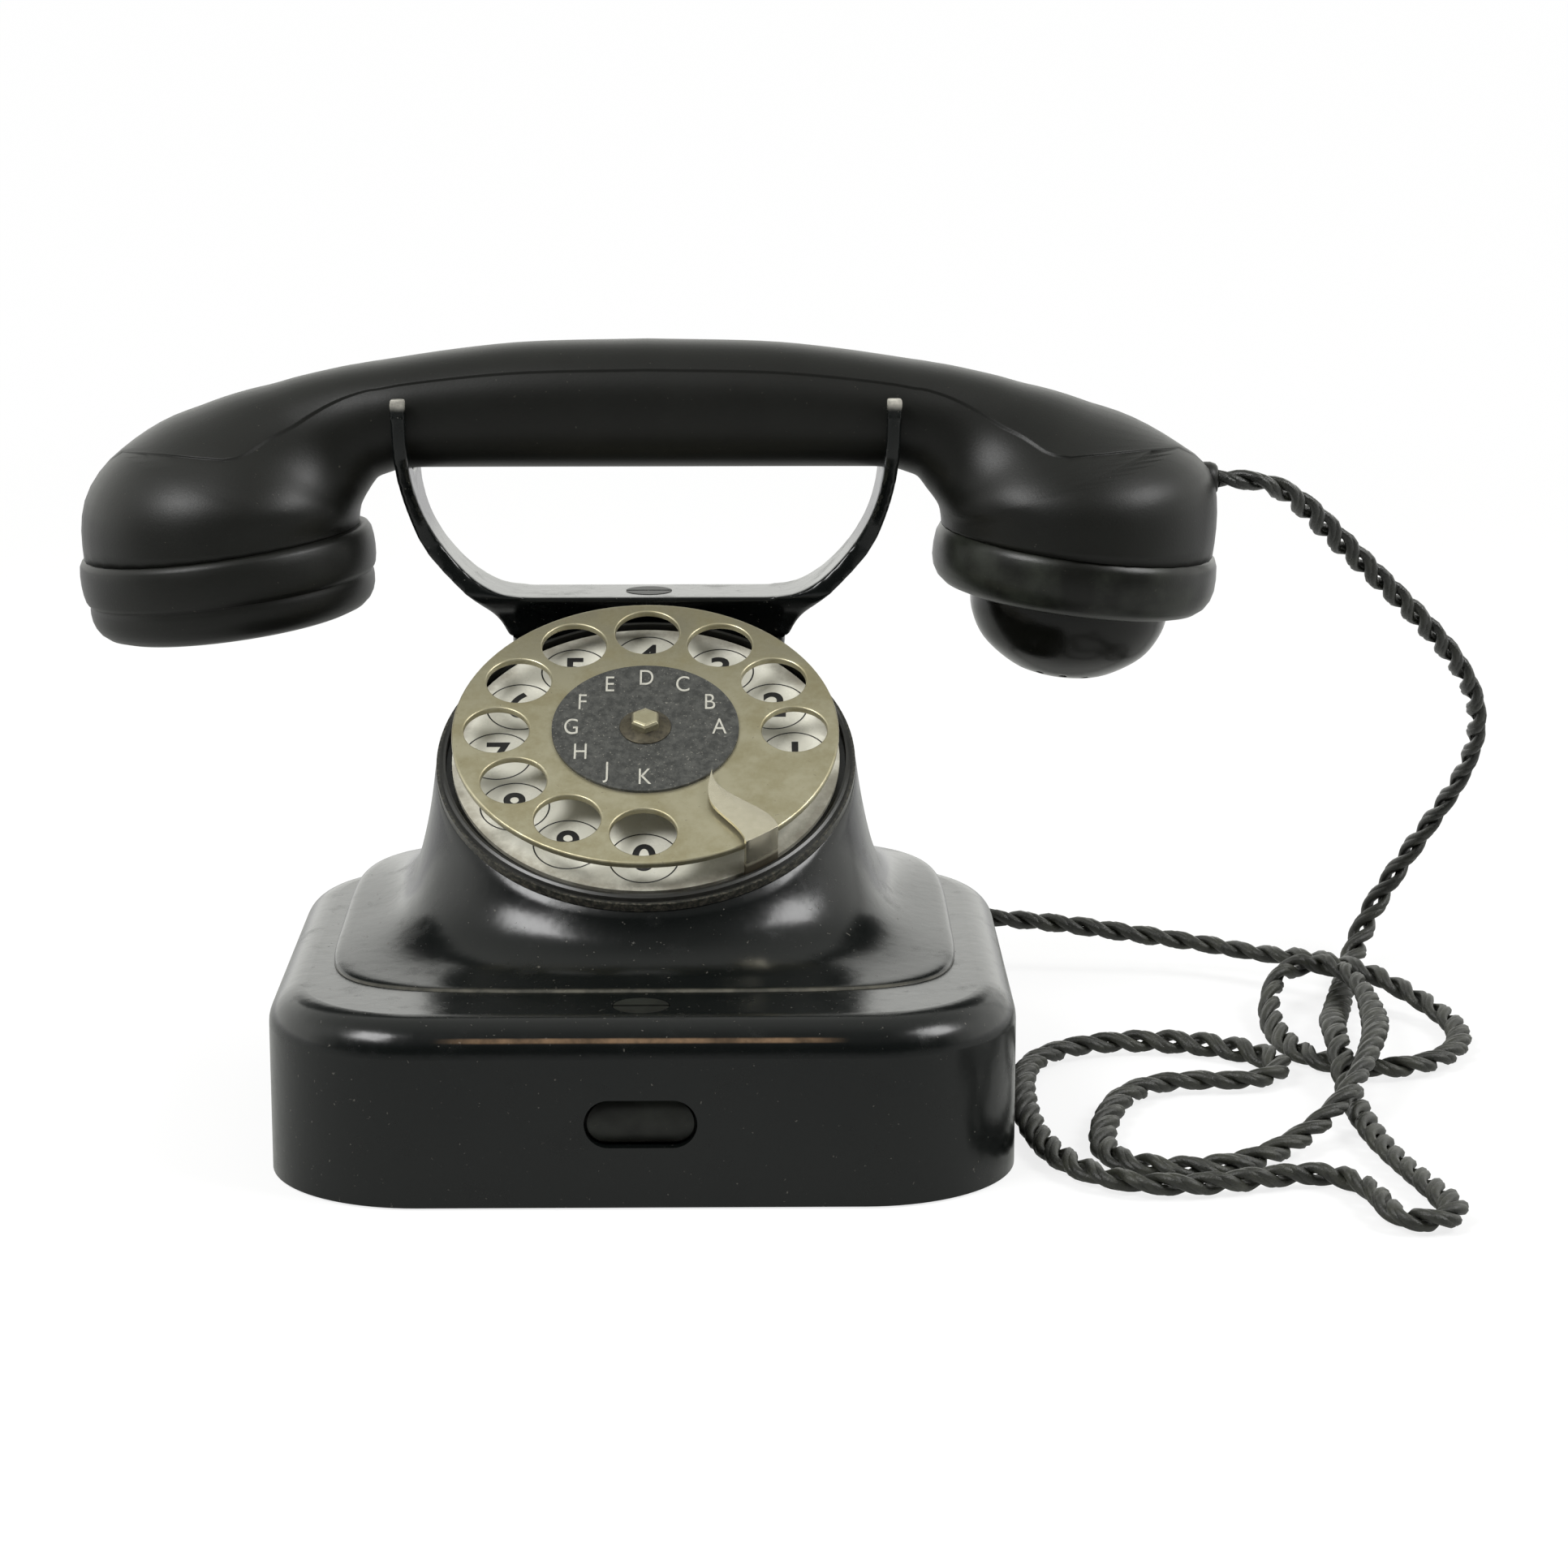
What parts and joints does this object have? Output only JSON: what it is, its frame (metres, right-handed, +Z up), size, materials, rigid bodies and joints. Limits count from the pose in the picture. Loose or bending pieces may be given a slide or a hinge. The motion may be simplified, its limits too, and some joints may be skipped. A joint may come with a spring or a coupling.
{
  "type": "rotary telephone",
  "caption": "Black desk telephone with a tilted rotary dial, a lyre cradle that rises as the handset is lifted, a push key, a ringer and a plaited cord.",
  "frame": {"origin": "middle of the object's box without the cord, on the table it stands on", "axes": "+X to the right as seen from the dial's side, +Y to the back, +Z up"},
  "size_m": [0.3077, 0.2009, 0.1516],
  "materials": {
    "lacquer": "black gloss lacquer on sheet metal, rubbed at the edges and dusty",
    "ebonite": "black hard rubber, satin with a faint brown bloom",
    "nickel": "aged nickel plate, warm and dull, coppery at the rim",
    "enamel": "off-white vitreous enamel with black numerals",
    "card": "dark printed disc with pale letters, dusty",
    "felt": "dark felt pads",
    "brass": "turned and stamped brass, dull",
    "steel": "plain steel, dull",
    "iron": "dark iron",
    "winding": "green silk-covered copper winding",
    "tin": "tinned can",
    "insulator": "brown pressed insulating board",
    "cord": "plaited dark olive cotton over the wires"
  },
  "bodies": {
    "base": {"base_box": "lacquer", "base_plate": "steel", "feet": "felt", "foot_screws": "steel", "foot_nuts": "steel", "ledge_screw": "lacquer", "cord_gland": "ebonite", "upper_cover": "lacquer", "dial_bezel": "lacquer", "number_plate": "enamel", "dial_front_plate": "brass", "dial_back_plate": "brass", "dial_pillars": "brass", "pulse_contacts": "brass", "finger_stop": "nickel", "cradle_guide": "steel", "cradle_spring": "steel", "spring_seat": "steel", "hook_switch": "brass", "key_bracket": "steel", "key_springs": "steel", "gong_left": "steel", "gong_right": "steel", "gong_posts": "brass", "gong_nuts": "steel", "ringer_frame": "iron", "ringer_coils": "winding", "ringer_magnet": "iron", "induction_coil": "winding", "capacitor": "tin", "terminal_block": "insulator", "terminal_screws": "brass", "handset_cord": "cord"},
    "dial": {"finger_wheel": "nickel", "letter_card": "card", "hub_washer": "nickel", "hub_bolt": "nickel", "dial_shaft": "steel", "drive_gear": "brass", "mainspring": "steel", "pulse_cam": "brass"},
    "arbor": {"dial_arbor": "brass", "arbor_gear": "brass"},
    "governor": {"governor_arbor": "brass", "governor_weights": "brass"},
    "cradle": {"cradle_fork": "lacquer", "saddle_screw": "lacquer"},
    "key": {"push_key": "ebonite"},
    "clapper": {"clapper": "steel"},
    "handset": {"handset_body": "ebonite", "ear_cap": "ebonite", "receiver_capsule": "brass", "receiver_diaphragm": "steel", "mouth_ring": "ebonite", "mouthpiece_dome": "ebonite", "transmitter_capsule": "brass", "handset_cord_bush": "ebonite"}
  },
  "joints": [
    {"name": "dial_turn", "type": "hinge", "parent": "base", "child": "dial", "pos_m": [0, -0.00351, 0.0775], "axis": [0, -0.5, 0.866], "range_deg": [-308, 0], "stiffness_Nm_per_rad": 0.01, "springref_deg": 11.46},
    {"name": "arbor_turn", "type": "hinge", "parent": "base", "child": "arbor", "pos_m": [-0.01958, -0.01141, 0.07294], "axis": [0, -0.5, 0.866], "range_deg": [-5, 1545]},
    {"name": "governor_turn", "type": "hinge", "parent": "base", "child": "governor", "pos_m": [-0.02125, -0.0217, 0.06699], "axis": [0, -0.5, 0.866], "range_deg": [-6165, 5]},
    {"name": "handset_lift", "type": "slide", "parent": "base", "child": "handset", "axis": [0, 0, 1], "range_m": [0, 0.06]},
    {"name": "cradle_rise", "type": "slide", "parent": "base", "child": "cradle", "axis": [0, 0, 1], "range_m": [0, 0.006], "deforming": ["cradle_spring"]},
    {"name": "key_press", "type": "slide", "parent": "base", "child": "key", "axis": [0, 1, 0], "range_m": [0, 0.003], "stiffness_N_per_m": 200},
    {"name": "clapper_swing", "type": "hinge", "parent": "base", "child": "clapper", "pos_m": [0, 0.002, 0.0141], "axis": [0, 0, 1], "range_deg": [-10, 10]}
  ],
  "couplings": [
    {"joint": "arbor_turn", "follows": "dial_turn", "ratio": -5},
    {"joint": "governor_turn", "follows": "dial_turn", "ratio": 20},
    {"joint": "cradle_rise", "follows": "handset_lift", "ratio": 0.1}
  ]
}
